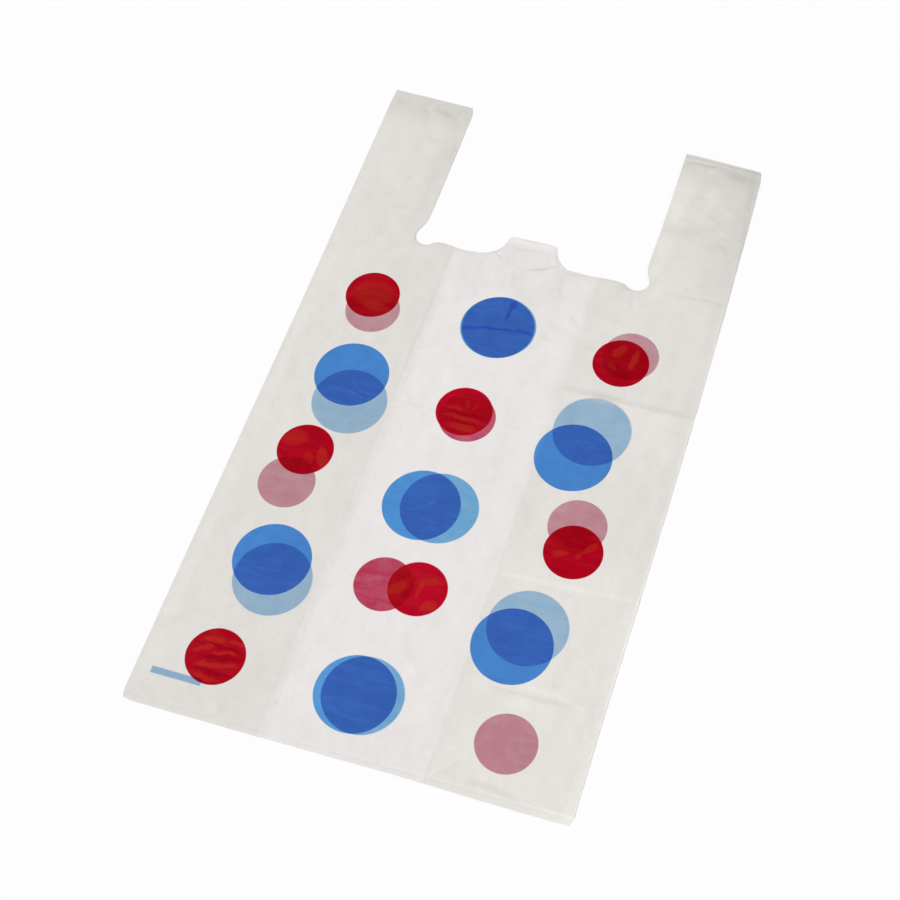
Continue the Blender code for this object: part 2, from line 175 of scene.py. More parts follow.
# Where the ink catches the light, and where a wrinkle of the film makes it deeper, laid out in the same way
INK_GLINTS = (
    (86.5, 345.5, 6.5, 4, 60, 0.7), (98.5, 340.5, 8.5, 3, 80, 0.8), (84.5, 331.5, 4, 2.6, -50, 0.7),
    (-100, 347, 16, 12, 10, 0.45), (-96, 336, 11, 4, 0, 0.4), (-4.6, 261.5, 15, 1.8, 2, 0.8),
    (-2, 253.8, 12, 2.8, 4, 0.8), (-4, 273, 4, 1.4, 80, 0.5), (2, 272, 3.5, 1.2, 75, 0.5),
    (-13, 268.5, 7, 1.8, 0, 0.6), (-111.5, 214, 9.5, 6.5, 30, 0.6), (-87.5, 203.5, 9, 4, -76, 0.8),
    (-97, 201, 5, 3, -50, 0.5), (109, 186.4, 6.5, 2.8, 50, 0.7), (90.5, 178.4, 6, 2.8, 20, 0.7),
    (103, 179, 3, 2, 60, 0.5), (14.5, 132.8, 8.5, 2.6, 12, 0.8), (9.8, 126, 6, 2.2, 80, 0.8),
    (19, 116, 6.5, 4, 40, 0.8), (-4.5, 123.5, 8, 4.5, 35, 0.8), (-107, 54, 9, 2.4, 8, 0.8),
    (-92, 55.5, 5, 2, -10, 0.7), (-112.5, 46.5, 8, 2.2, 24, 0.8), (-97, 46.8, 9, 1.4, 8, 0.8),
    (-99, 37.8, 15, 1.9, 9, 0.9), (-103, 27.2, 10, 1.9, 0, 0.7), (-8, 187, 12, 1.6, 38, 0.5),
    (-1, 179, 9, 1.4, 34, 0.4), (2, 196, 7, 1.4, 40, 0.4), (78, 262, 6, 1.4, 80, 0.4),
)
INK_BANDS = (
    (-22.5, 337, 8, 1.7, 13, 0.8), (-10, 339.8, 9, 1.7, 8, 0.8), (4, 341.2, 9, 1.5, 6, 0.8),
    (16.5, 343.2, 8, 2.2, 6, 0.8), (2.6, 364, 4.5, 3.4, 90, 0.8), (1.4, 356, 7, 1.5, 84, 0.8),
    (-4.6, 265.2, 16, 1.4, 3, 0.9), (-4, 258, 12, 1.1, 3, 0.8), (-99, 42.6, 15, 1.8, 8, 0.9),
    (-98, 50.8, 13, 1.6, 6, 0.8), (-101, 32.2, 15, 1.8, 4, 0.9), (88, 328, 13, 6, -30, 0.6),
    (-82, 262, 9, 1, -12, 0.5), (-98, 196, 9, 5, 0, 0.5), (1.5, 121, 8, 3, 78, 0.5), (-3, 134, 6, 2.5, 50, 0.4),
)


# --- settings that a user would change ------------------------------------------------------------


def length(name, description, default):
    """A setting in metres."""
    return bpy.props.FloatProperty(name=name, description=description, default=default, unit="LENGTH")


def tint(name, description, *default):
    """A setting that is a colour, as linear red, green and blue."""
    return bpy.props.FloatVectorProperty(
        name=name, description=description, default=default, subtype="COLOR", size=3)


def light_strength(name, description, default):
    """A setting that is the strength of a light."""
    return bpy.props.FloatProperty(name=name, description=description, default=default, min=0.0)


class BagShape(bpy.types.PropertyGroup):
    film_thickness: length("Film", "Thickness of the film", 0.00003)
    ply_pitch: length("Ply pitch", "From one ply to the next where four lie on each other", 0.00016)
    pressed_pitch: length("Pressed pitch", "The same on the welds", 0.000042)
    left_drape: length("Left drape", "Width in which the front sinks beside the left gusset", 0.0038)
    right_drape: length("Right drape", "The same beside the right gusset, where it is slack", 0.0240)
    swell: length("Swell", "How far the front stands up between folds", 0.00085)
    waviness: length("Waviness", "Height of the slack film's soft waves", 0.00034)
    calm_rows: length("Calm rows", "Spacing of the mesh up the bag where the film is smooth", 0.0062)
    creased_rows: length("Creased rows", "The same where the film is creased", 0.0030)
    front_pitch: length("Front pitch", "Spacing of the front's columns", 0.0020)
    hidden_pitch: length("Hidden pitch", "Spacing of the other plies' columns", 0.0120)


class BagColours(bpy.types.PropertyGroup):
    centre_film: tint("Centre film", "Two plies of film over the pale floor", 0.785, 0.757, 0.747)
    side_film: tint("Side film", "Four plies of film over the pale floor", 0.741, 0.718, 0.682)
    red_ink: tint("Red ink", "Front red on the film", 0.388, 0.0010, 0.0110)
    blue_ink: tint("Blue ink", "Front blue on the film", 0.062, 0.215, 0.557)
    red_through_sides: tint("Back red, sides", "Back red seen through four plies", 0.455, 0.200, 0.243)
    red_through_centre: tint("Back red, centre", "Back red seen through two plies", 0.435, 0.037, 0.091)
    blue_through_sides: tint("Back blue, sides", "Back blue seen through four plies", 0.258, 0.408, 0.553)
    blue_through_centre: tint("Back blue, centre", "Back blue seen through two plies", 0.144, 0.357, 0.593)
    roughness: bpy.props.FloatProperty(
        name="Roughness", description="Of the bare film", default=0.38, min=0.05, max=1.0, subtype="FACTOR")


class Studio(bpy.types.PropertyGroup):
    camera_place: bpy.props.FloatVectorProperty(
        name="Camera", description="Where the camera stands", default=(0.2367, -0.5929, 0.9755),
        subtype="TRANSLATION", size=3)
    camera_aim: bpy.props.FloatVectorProperty(
        name="Aim", description="Direction of view", default=(-0.2101, 0.4835, -0.8497), subtype="DIRECTION", size=3)
    camera_up: bpy.props.FloatVectorProperty(
        name="Up", description="Up in the frame", default=(-0.2338, 0.8191, 0.5239), subtype="DIRECTION", size=3)
    lens: bpy.props.FloatProperty(
        name="Lens", description="Focal length", default=66.50, min=1.0, unit="CAMERA")
    floor_tone: tint("Floor", "Colour of the floor", 0.972, 0.972, 0.972)
    room_light: light_strength("Room light", "Strength of the even light from all sides", 1.03)
    ceiling_light: light_strength(
        "Ceiling light", "Strength of the light from above and behind, where it is dim", 0.12)
    key_light: light_strength("Key light", "Strength of the soft light from the left", 2.66)


# Material slots of the film
FRONT, GUSSET, BACK = 0, 1, 2


# --- shapes ---------------------------------------------------------------------------------------


def smooth(t):
    """Zero to one with level ends, for t from zero to one."""
    t = np.clip(t, 0.0, 1.0)
    return t * t * (3.0 - 2.0 * t)


def eased(points, steps=8):
    """A smooth line through points: each stretch is the cubic whose slopes are those of its neighbours' chords.

    The chord slopes are limited to the smaller of the two that meet, so the line never overshoots.
    """
    points = np.asarray(points, float)
    u, v = points[:, 0], points[:, 1]
    chord = np.diff(v) / np.diff(u)
    agree = chord[:-1] * chord[1:] > 0.0
    inner = np.where(agree, np.sign(chord[:-1]) * np.minimum(abs(chord[:-1]), abs(chord[1:])), 0.0)
    slope = np.concatenate([chord[:1], inner, chord[-1:]])
    t = np.linspace(0.0, 1.0, steps, endpoint=False)[None, :]
    run = np.diff(u)[:, None]
    out = (
        v[:-1, None] * (1 + 2 * t) * (1 - t) ** 2
        + slope[:-1, None] * run * t * (1 - t) ** 2
        + v[1:, None] * t * t * (3 - 2 * t)
        + slope[1:, None] * run * t * t * (t - 1)
    )
    along = u[:-1, None] + run * t
    return np.append(along, u[-1]), np.append(out, v[-1])


def follow(points, at):
    """Value of the smooth line through points, read at the places at."""
    along, values = eased(points)
    return np.interp(at, along, values)


def notch_arc(notch, side, last):
    """The lower round of a notch: points at equal turns from its outermost point down and round."""
    turn = np.radians(np.linspace(0.0, last, 10))
    return np.column_stack([notch[0] + side * notch[2] * np.cos(turn), notch[1] - notch[2] * np.sin(turn)])


def mouth_line(pitch, front):
    """The mouth's edge from the left notch to the right one, as x and height in millimetres.

    Two arcs, a hem on each side, the sweeps up to the tab and the tab's shoulders, joined end to end.
    On the front film the tab ends lower, at the line of the torn edge.
    """
    left = notch_arc(LEFT_NOTCH, -1, 132)
    right = notch_arc(RIGHT_NOTCH, 1, 132)[::-1]
    knots = LEFT_HEM + LEFT_FLANK + TAB_SHOULDERS + RIGHT_FLANK + RIGHT_HEM
    along, heights = eased(knots, 12)
    inner = np.array([x for x, _ in LEFT_FLANK + TAB_SHOULDERS + RIGHT_FLANK])
    start, end = LEFT_HEM[0][0], RIGHT_HEM[-1][0]
    inner = np.unique(np.concatenate([inner, (inner[1:] + inner[:-1]) / 2, [LEFT_TIP, start, end]]))
    filler = np.arange(start + pitch, end - pitch / 2, pitch)
    gaps = np.abs(filler[:, None] - inner[None, :]).min(1)
    across = np.sort(np.concatenate([inner, filler[gaps > 0.4 * pitch]]))
    hem = np.column_stack([across, np.interp(across, along, heights)])
    line = np.concatenate([left[left[:, 0] < hem[0, 0] - 0.3], hem, right[right[:, 0] > hem[-1, 0] + 0.3]])
    if front:
        torn = follow(FRONT_TAB_HEM, line[:, 0])
        line[:, 1] = np.where(np.abs(line[:, 0]) < 25.0, np.minimum(line[:, 1], torn), line[:, 1])
    return line


def ply_columns(pitch, front=False):
    """Columns of one ply from the left edge to the right one: nominal x and height of the mouth.

    With them come the places in that row of the two columns that rise from the notches into the handles.
    """
    line = mouth_line(pitch, front)
    start, end = line[0, 0], line[-1, 0]
    left = np.linspace(-150.0, start, math.ceil((start + 150.0) / pitch) + 1)[:-1]
    right = np.linspace(end, 150.0, math.ceil((150.0 - end) / pitch) + 1)[1:]
    x = np.concatenate([left, line[:, 0], right])
    hem = np.concatenate([np.full(len(left), LEFT_NOTCH[1]), line[:, 1], np.full(len(right), RIGHT_NOTCH[1])])
    hem[len(left)] = LEFT_NOTCH[1]
    hem[len(left) + len(line) - 1] = RIGHT_NOTCH[1]
    return x, hem, len(left), len(left) + len(line) - 1


def row_heights():
    """Nominal heights of the rows up to the notches, and above them to the handle tops (0 to 1)."""
    shape = bpy.context.scene.bag_shape
    calm, creased = shape.calm_rows / MM, shape.creased_rows / MM

    def fill(stops, zones):
        """Even rows between the stops, at the creased spacing in the zones and at the calm one elsewhere."""
        rows = [stops[0]]
        for low, high in zip(stops, stops[1:]):
            pitch = creased if any(start <= low < end for start, end in zones) else calm
            rows += list(np.linspace(low, high, max(1, round((high - low) / pitch)) + 1)[1:])
        return np.array(rows)

    notch, end = LEFT_NOTCH[1], HANDLE_LENGTH
    low, high, arm_low = 30.0, 335.0, 28.0  # the film is creased below, above and above these
    stops = {0.0, *WELD_ROWS, 11.4, low, high, MOUTH_FLOOR}
    stops |= {notch - below for below in (10.0, 7.0, 4.0, 1.8, 0.0)}
    for height, _, _ in PACK_FOLDS[:3]:
        stops |= {height + beside for beside in (-6.0, -3.0, -1.2, 0.0, 1.2, 3.0, 6.0)}
    body = fill(sorted(stops), ((0.0, low), (high, notch)))
    stops = {0.0, 1.6, 3.6, 5.6, 8.1, 11.6, 15.6, arm_low, end - 16.0, end - 11.0, end}
    stops |= {end - row for row in WELD_ROWS}
    return body, fill(sorted(stops), ((arm_low, end),)) / end


def soft_waves(x, y, seed, longest, shortest, count=26):
    """Low rolling relief between -1 and 1: a sum of sine waves of seeded direction, length and phase."""
    rng = np.random.default_rng(seed)
    total = np.zeros_like(x)
    for _ in range(count):
        length = shortest * (longest / shortest) ** rng.random()
        turn = rng.random() * 2 * math.pi
        wave = 2 * math.pi / length
        total = total + np.sin(wave * (x * math.cos(turn) + y * math.sin(turn)) + rng.random() * 2 * math.pi)
    return total / math.sqrt(count / 2) / 2.2


def crease_relief(x, y):
    """Creases of the front film: each is a level-ended hump or hollow over its ellipse, wide enough for the mesh."""
    total = np.zeros_like(x)
    for across, up, length, width, turn, tone in CREASES:
        cos, sin = math.cos(math.radians(turn)), math.sin(math.radians(turn))
        u = ((x - across) * cos + (y - up) * sin) / length
        v = ((y - up) * cos - (x - across) * sin) / max(width, 2.6)
        total = total + tone * CREASE_RELIEF * smooth(1.0 - np.hypot(u, v))
    return total


def fold_relief(x, y):
    """Rise along the pack folds, higher towards the right.

    A ridge is straight-sided. A valley is the same shape cut out of a broad low swelling.
    """
    total = np.zeros_like(x)
    for height, left, right in PACK_FOLDS:
        line = height + 0.6 * np.sin(x / 31.0 + height)
        rise = left + (right - left) * smooth((x + 40.0) / 130.0)
        narrow = np.clip(1.0 - np.abs(y - line) / 6.5, 0.0, 1.0) ** 1.3
        broad = smooth((34.0 - np.abs(y - line)) / 30.0)
        total = total + (rise * narrow if left > 0 else abs(rise) * (broad - narrow))
    return total


def swell_relief(x, y):
    """A sine-squared hump in each field between gusset folds and pack folds."""
    across = [-150.0, LEFT_TIP, RIGHT_TIP, 150.0]
    along = [0.0, 73.0, 153.0, 303.0, 405.0, 545.0]  # the pack folds, and the two ends
    share = np.ones_like(x)
    for place, bounds in ((x, across), (y, along)):
        hump = np.zeros_like(x)
        for low, high in zip(bounds, bounds[1:]):
            t = (place - low) / (high - low)
            hump = np.where((t >= 0.0) & (t <= 1.0), np.sin(math.pi * t) ** 2, hump)
        share = share * hump
    return share


def press(y, top):
    """How far the plies are open, zero on the welds and one away from them."""
    from_end = np.minimum(y, top - y)
    return smooth((from_end - WELD_WIDTH) / OPEN_WITHIN)


def arm_top(x):
    """Height of the handles' top edges."""
    return np.where(x < 0, follow(LEFT_TOP, x), follow(RIGHT_TOP, x))


def place_rows(x, hem, first, last):
    """The flat places of one ply's columns, for the body's rows and for the handles': x, height, way to the cut.

    Body: a row's height, bent to meet the mouth's edge as it nears it. Handles: the same columns carried on,
    drawn together so that the innermost one follows the handle's cut edge.
    """
    body, arms = row_heights()
    level = np.where(x < 0, LEFT_NOTCH[1], RIGHT_NOTCH[1])
    share = smooth((body - MOUTH_FLOOR) / (LEFT_NOTCH[1] - MOUTH_FLOOR))[:, None]
    y = body[:, None] + share * (hem - LEFT_NOTCH[1])[None, :]
    y = y + (1.0 - smooth(body / 50.0))[:, None] * follow(BOTTOM, x)[None, :]
    flat_x = np.repeat(x[None, :], len(body), 0)

    top = arm_top(x)
    arm_y = level[None, :] + arms[:, None] * (top - level)[None, :]
    edge_left = follow(((LEFT_NOTCH[1], x[first]),) + LEFT_HANDLE_EDGE, arm_y)
    edge_right = follow(((RIGHT_NOTCH[1], x[last]),) + RIGHT_HANDLE_EDGE, arm_y)
    left_x = -150.0 + (x + 150.0)[None, :] * (edge_left + 150.0) / (x[first] + 150.0)
    right_x = 150.0 - (150.0 - x)[None, :] * (150.0 - edge_right) / (150.0 - x[last])
    arm_x = np.where((x < 0)[None, :], left_x, right_x)
    aside = np.maximum(np.maximum(x[first] - x, x - x[last]), 0.0)[None, :]
    body_cut = np.hypot(aside, hem[None, :] - y)
    arm_cut = np.where((x < 0)[None, :], edge_left - arm_x, arm_x - edge_right)
    for across, up, radius in (LEFT_NOTCH, RIGHT_NOTCH):
        body_cut = np.minimum(body_cut, abs(np.hypot(flat_x - across, y - up) - radius))
        arm_cut = np.minimum(arm_cut, abs(np.hypot(arm_x - across, arm_y - up) - radius))
    return (flat_x, y, body_cut), (arm_x, arm_y, arm_cut)


def bow(x, y):
    """Moves the side edges in or out along the bag. The film follows with ease over the outer 60 mm."""
    left = follow(LEFT_SIDE, y) + 150.0
    right = follow(RIGHT_SIDE, y) - 150.0
    return x + left * smooth((-x - 90.0) / 60.0) + right * smooth((x - 90.0) / 60.0)


def front_level(x):
    """Which ply's level the front film lies on: 3 over the gussets, 1 in the middle."""
    shape = bpy.context.scene.bag_shape
    left_width, right_width = shape.left_drape / MM, shape.right_drape / MM
    left, right = LEFT_TIP + 0.8, RIGHT_TIP - 0.8
    sink_left = 1.0 + 2.0 * smooth((left + left_width - x) / left_width)
    sink_right = 1.0 + 2.0 * smooth((x - right + right_width) / right_width)
    return np.maximum(sink_left, sink_right)


def lie(x, y, to_cut, level, front):
    """Height of the film: its level times the ply pitch, plus folds, swell and, on the front, creases and waves.

    The welds press the plies together, and so do the outer folds and the die where it cut the mouth.
    """
    shape = bpy.context.scene.bag_shape
    top = np.where((x > -82.0) & (x < 86.0), 560.0, arm_top(x))  # no weld above the mouth
    opened = press(y, top) * (0.10 + 0.90 * smooth(to_cut / 15.0)) * (0.15 + 0.85 * smooth((150.0 - abs(x)) / 12.0))
    pitch = shape.pressed_pitch + (shape.ply_pitch - shape.pressed_pitch) * opened
    share = level / np.maximum(front_level(x), 1.0)
    z = level * pitch
    z = z + fold_relief(x, y) * MM * (0.25 + 0.75 * share) * opened
    z = z + swell_relief(x, y) * shape.swell * share * opened
    if front:
        slack = 0.5 + 0.5 * soft_waves(x, y, 7, 60.0, 14.0)
        z = z + (slack * shape.waviness + crease_relief(x, y) * MM) * (0.15 + 0.85 * opened)
        beside_weld = np.exp(-(((np.minimum(y, top - y) - 9.0) / 6.0) ** 2))
        pucker = 0.5 + 0.5 * soft_waves(x, y * 0.35, 21, 16.0, 5.0)
        z = z + beside_weld * pucker * PUCKER_RELIEF
    return z


def film_grid(x, hem, first, last, level, front):
    """One ply as three grids of points: the body, and the two handles above it."""
    body, arms = place_rows(x, hem, first, last)
    levels = front_level(x) if front else np.full(len(x), float(level))
    grids = []
    for part, columns in ((body, slice(None)), (arms, slice(0, first + 1)), (arms, slice(last, None))):
        px, py, to_cut = (grid[:, columns] for grid in part)
        pz = lie(px, py, to_cut, levels[None, columns], front)
        grids.append(np.stack([bow(px, py), py, pz], -1))
    return grids


def bag_mesh():
    """The gusseted tube as one mesh: points in metres, quads and each quad's material.

    The film goes once round the bag: back, right gusset out and in, front, left gusset in and out. Each ply is a
    grid of rows up the bag and columns across it. Where two plies meet, at an outer edge or an inner fold,
    a half-round of the pitch between them joins their last columns. Points that fall on each other become one.
    """
    shape = bpy.context.scene.bag_shape
    x, hem, first, last = back = ply_columns(shape.hidden_pitch / MM)
    front = ply_columns(shape.front_pitch / MM, front=True)

    def gusset(side, tip):
        """One gusset's columns with its inner fold's, their mouth heights, and the two columns between the arms."""
        keep = x < tip - 1.2 if side < 0 else x > tip + 1.2
        at = np.count_nonzero(keep) if side < 0 else 0
        columns, heights = np.insert(x[keep], at, tip), np.insert(hem[keep], at, np.interp(tip, x, hem))
        return columns, heights, *((first, at) if side < 0 else (0, last - (len(x) - len(columns))))

    points, quads, slots = [], [], []

    def add_grid(grid, flip, slot):
        """Adds a grid's points and a quad for each of its cells, turned over where flip is true."""
        rows, columns = grid.shape[:2]
        base = sum(len(p) for p in points)
        index = base + np.arange(rows * columns).reshape(rows, columns)
        a, b, c, d = index[:-1, :-1], index[1:, :-1], index[1:, 1:], index[:-1, 1:]
        face = np.stack([a, d, c, b] if flip else [a, b, c, d], -1).reshape(-1, 4)
        points.append(grid.reshape(-1, 3))
        quads.append(face)
        slots.append(np.full(len(face), slot))

    def bridge(lower, upper, side, flip, slot):
        """A half-round between two edge columns: centre plus radius times the cosine outwards, sine upwards."""
        angles = np.linspace(-math.pi / 2, math.pi / 2, 5)[None, :, None]
        middle, half = (lower + upper)[:, None, :] / 2, (upper - lower)[:, None, :] / 2
        out = np.array([side, 0.0, 0.0])[None, None, :] * half[:, :, 2:3] / MM
        add_grid(middle + half * np.sin(angles) + out * np.cos(angles), flip, slot)

    plies = {"back": film_grid(*back, 0, False), "front": film_grid(*front, 3, True)}
    for name, side, tip in (("left", -1, LEFT_TIP), ("right", 1, RIGHT_TIP)):
        for level in (1, 2):
            body, left_arm, right_arm = film_grid(*gusset(side, tip), level, False)
            plies[f"{name}_{level}"] = (body, left_arm if side < 0 else right_arm)

    for grid in plies["back"]:
        add_grid(grid, False, BACK)
    for grid in plies["front"]:
        add_grid(grid, True, FRONT)
    for name, side, arm in (("left", -1, 1), ("right", 1, 2)):
        low, high = plies[f"{name}_1"], plies[f"{name}_2"]
        outer = 0 if side < 0 else -1
        inner = -1 if side < 0 else 0
        for grid in low:
            add_grid(grid, True, GUSSET)
        for grid in high:
            add_grid(grid, False, GUSSET)
        bridge(low[0][:, inner], high[0][:, inner], -side, side > 0, GUSSET)
        for part, face_part in ((0, 0), (1, arm)):
            bridge(plies["back"][face_part][:, outer], low[part][:, outer], side, side < 0, BACK)
            bridge(high[part][:, outer], plies["front"][face_part][:, outer], side, side < 0, FRONT)
    places = np.concatenate(points)
    places[:, :2] *= MM
    _, kept, joined = np.unique(np.round(places, 7), axis=0, return_index=True, return_inverse=True)
    return places[kept], joined.reshape(-1)[np.concatenate(quads)], np.concatenate(slots)


# --- shader maths ---------------------------------------------------------------------------------


# Tints of the inks, linear. MIDDLE is over two plies, LIT where the ink catches the light, OVER where the back's
# print lies under it and WRINKLE where the film is wrinkled.
RED_MIDDLE = (0.453, 0.0020, 0.0180)
RED_LIT = (0.470, 0.0230, 0.0120)
RED_OVER_RED = (0.306, 0.0006, 0.0065)
RED_OVER_RED_MIDDLE = (0.350, 0.0018, 0.0080)
RED_OVER_RED_LIT = (0.395, 0.0210, 0.0095)
RED_OVER_BAR = (0.110, 0.0010, 0.0110)
RED_WRINKLE = (0.228, 0.0003, 0.0050)
BLUE_MIDDLE = (0.077, 0.278, 0.628)
BLUE_MIDDLE_LOW = (0.120, 0.370, 0.700)
BLUE_OVER_BLUE = (0.0360, 0.113, 0.425)
BLUE_OVER_BLUE_LIT = (0.047, 0.144, 0.480)
BLUE_OVER_BLUE_WRINKLE = (0.0260, 0.068, 0.415)
BACK_RED_OVER_RED = (0.345, 0.0040, 0.0080)
BACK_BLUE_OVER_BLUE = (0.0368, 0.112, 0.434)


class Wire:
    """A shader socket with Python's arithmetic: each operator adds one Math node."""

    def __init__(self, tree, socket):
        self.tree = tree
        self.socket = socket

    def maths(self, operation, *values):
        """The result of one Math node."""
        node = self.tree.add("ShaderNodeMath", {"operation": operation}, dict(enumerate(values)))
        return Wire(self.tree, node.outputs[0])

    def __add__(self, other):
        return self.maths("ADD", self, other)

    def __sub__(self, other):
        return self.maths("SUBTRACT", self, other)

    def __mul__(self, other):
        return self.maths("MULTIPLY", self, other)

    def __truediv__(self, other):
        return self.maths("DIVIDE", self, other)

    def __rsub__(self, other):
        return self.maths("SUBTRACT", other, self)

    __radd__ = __add__
    __rmul__ = __mul__

    def __abs__(self):
        return self.maths("ABSOLUTE", self)

    def over(self, other):
        """The larger of the two."""
        return self.maths("MAXIMUM", self, other)

    def under(self, other):
        """The smaller of the two."""
        return self.maths("MINIMUM", self, other)

    def ramp(self, low, high, start=0.0, end=1.0):
        """Start to end with level ends as the value goes from low to high."""
        node = self.tree.add(
            "ShaderNodeMapRange", {"interpolation_type": "SMOOTHSTEP", "clamp": False},
            {"Value": self, "From Min": low, "From Max": high, "To Min": start, "To Max": end})
        return Wire(self.tree, node.outputs["Result"])

    def line(self, at, half):
        """One where the value is at, falling to zero half away on both sides."""
        return abs(self - at).ramp(half, 0.0)


class Shader:
    """One material's nodes."""

    def __init__(self, name, roughness):
        self.material = bpy.data.materials.new(name)
        self.material.use_nodes = True
        self.nodes = self.material.node_tree.nodes
        self.links = self.material.node_tree.links
        self.principled = self.nodes["Principled BSDF"]
        self.principled.inputs["Roughness"].default_value = roughness
        self.principled.inputs["Specular IOR Level"].default_value = 0.04
        self.place = self.add("ShaderNodeTexCoord").outputs["Object"]
        split = self.add("ShaderNodeSeparateXYZ", {}, {0: self.place})
        self.x = Wire(self, split.outputs[0])
        self.y = Wire(self, split.outputs[1])

    def add(self, kind, settings=None, sockets=None):
        """Any node: its settings first, then its sockets' values or links."""
        node = self.nodes.new(kind)
        for name, value in (settings or {}).items():
            setattr(node, name, value)
        for name, value in (sockets or {}).items():
            self.feed(node.inputs[name], value)
        return node

    def feed(self, socket, value):
        """Links a socket or sets its value."""
        if isinstance(value, Wire):
            value = value.socket
        if isinstance(value, bpy.types.NodeSocket):
            self.links.new(value, socket)
        else:
            socket.default_value = value

    def colour(self, factor, first, second, blend="MIX"):
        """Two colours mixed by a factor."""
        node = self.add("ShaderNodeMix", {"data_type": "RGBA", "blend_type": blend})
        self.feed(node.inputs[0], factor)
        for socket, value in ((node.inputs[6], first), (node.inputs[7], second)):
            self.feed(socket, value if isinstance(value, (Wire, bpy.types.NodeSocket)) else (*value, 1.0))
        return node.outputs[2]

    def times(self, colour, tone):
        """A colour made lighter or darker."""
        grey = self.add("ShaderNodeCombineXYZ", {}, {0: tone, 1: tone, 2: tone})
        return self.colour(1.0, colour, grey.outputs[0], "MULTIPLY")

    def mapped(self, place, turn, across=1.0, along=1.0):
        """A place, scaled apart across and along the bag and turned about its normal."""
        sockets = {"Vector": place, "Rotation": (0.0, 0.0, turn), "Scale": (across, along, 1.0)}
        return self.add("ShaderNodeMapping", {"vector_type": "POINT"}, sockets).outputs["Vector"]

    def vector(self, operation, *values):
        """One Vector Math node, its values or links in order."""
        return self.add("ShaderNodeVectorMath", {"operation": operation}, dict(enumerate(values)))

    def noise(self, scale, detail=2.0, rough=0.5, bend=0.0, place=None):
        """Cloudy noise of about a half, its scale in clouds per metre."""
        node = self.add(
            "ShaderNodeTexNoise", {"noise_dimensions": "3D"},
            {"Vector": place or self.place, "Scale": scale, "Detail": detail, "Roughness": rough, "Distortion": bend})
        return Wire(self, node.outputs["Fac"])

    def cling(self):
        """Where the plies cling together and part: clouds drawn out across the bag."""
        return self.noise(30.0, 3.0, 0.6, 1.8, self.mapped(self.place, 0.12, 0.55, 2.6))

    def strokes(self, marks, place, outer=1.5, inner=0.1):
        """Sum of soft ellipses: middle, half length, half width, turn in degrees and amount of each.

        Turns are kept to twelves, and the place is turned once for each. There, an ellipse is a circle of one after
        scaling, and it fades from its inner to its outer share of that circle.
        """
        turned, total = {}, None
        for across, up, length, width, turn, amount in marks:
            turn = math.radians(12 * round(turn / 12))
            if turn not in turned:
                turned[turn] = self.mapped(place, -turn)
            middle = Matrix.Rotation(-turn, 2) @ Vector((across, up - middle_height() / MM))
            scale = (1.0 / (length * MM), 1.0 / (width * MM), 0.0)
            local = self.vector("MULTIPLY_ADD", turned[turn], scale, (-middle.x / length, -middle.y / width, 0.0))
            reach = self.vector("LENGTH", local.outputs[0])
            mark = Wire(self, reach.outputs["Value"]).ramp(outer, inner, 0.0, amount)
            total = mark if total is None else total + mark
        return total

    def wavy(self, scale, reach):
        """The place on the bag, moved about by up to half the reach in millimetres."""
        node = self.add("ShaderNodeTexNoise", {}, {"Vector": self.place, "Scale": scale, "Detail": 2.0})
        shift = self.vector("SUBTRACT", node.outputs["Color"], (0.5, 0.5, 0.5))
        return self.vector("MULTIPLY_ADD", shift.outputs[0], (reach * MM, reach * MM, 0.0), self.place).outputs[0]

    def disc(self, spot, radius, edge, place=None):
        """One inside a circle round spot on the floor plane, zero outside, over an edge of that width."""
        node = self.vector("DISTANCE", place or self.place, (spot[0] * MM, spot[1] * MM - middle_height(), 0.0))
        return Wire(self, node.outputs["Value"]).ramp((radius + edge / 2) * MM, (radius - edge / 2) * MM)

    def dots(self, red, blue, edge):
        """One side's red dots and its blue ones."""
        return self.discs(red, RED_RADIUS, edge), self.discs(blue, BLUE_RADIUS, edge)

    def discs(self, spots, radius, edge):
        """One inside any of the circles."""
        flat = self.vector("MULTIPLY", self.place, (1.0, 1.0, 0.0))
        total = None
        for spot in spots:
            disc = self.disc(spot, radius, edge, flat.outputs[0])
            total = disc if total is None else total.over(disc)
        return total


def middle_height():
    """From the bottom edge to the origin."""
    return -BAG_LOW.y


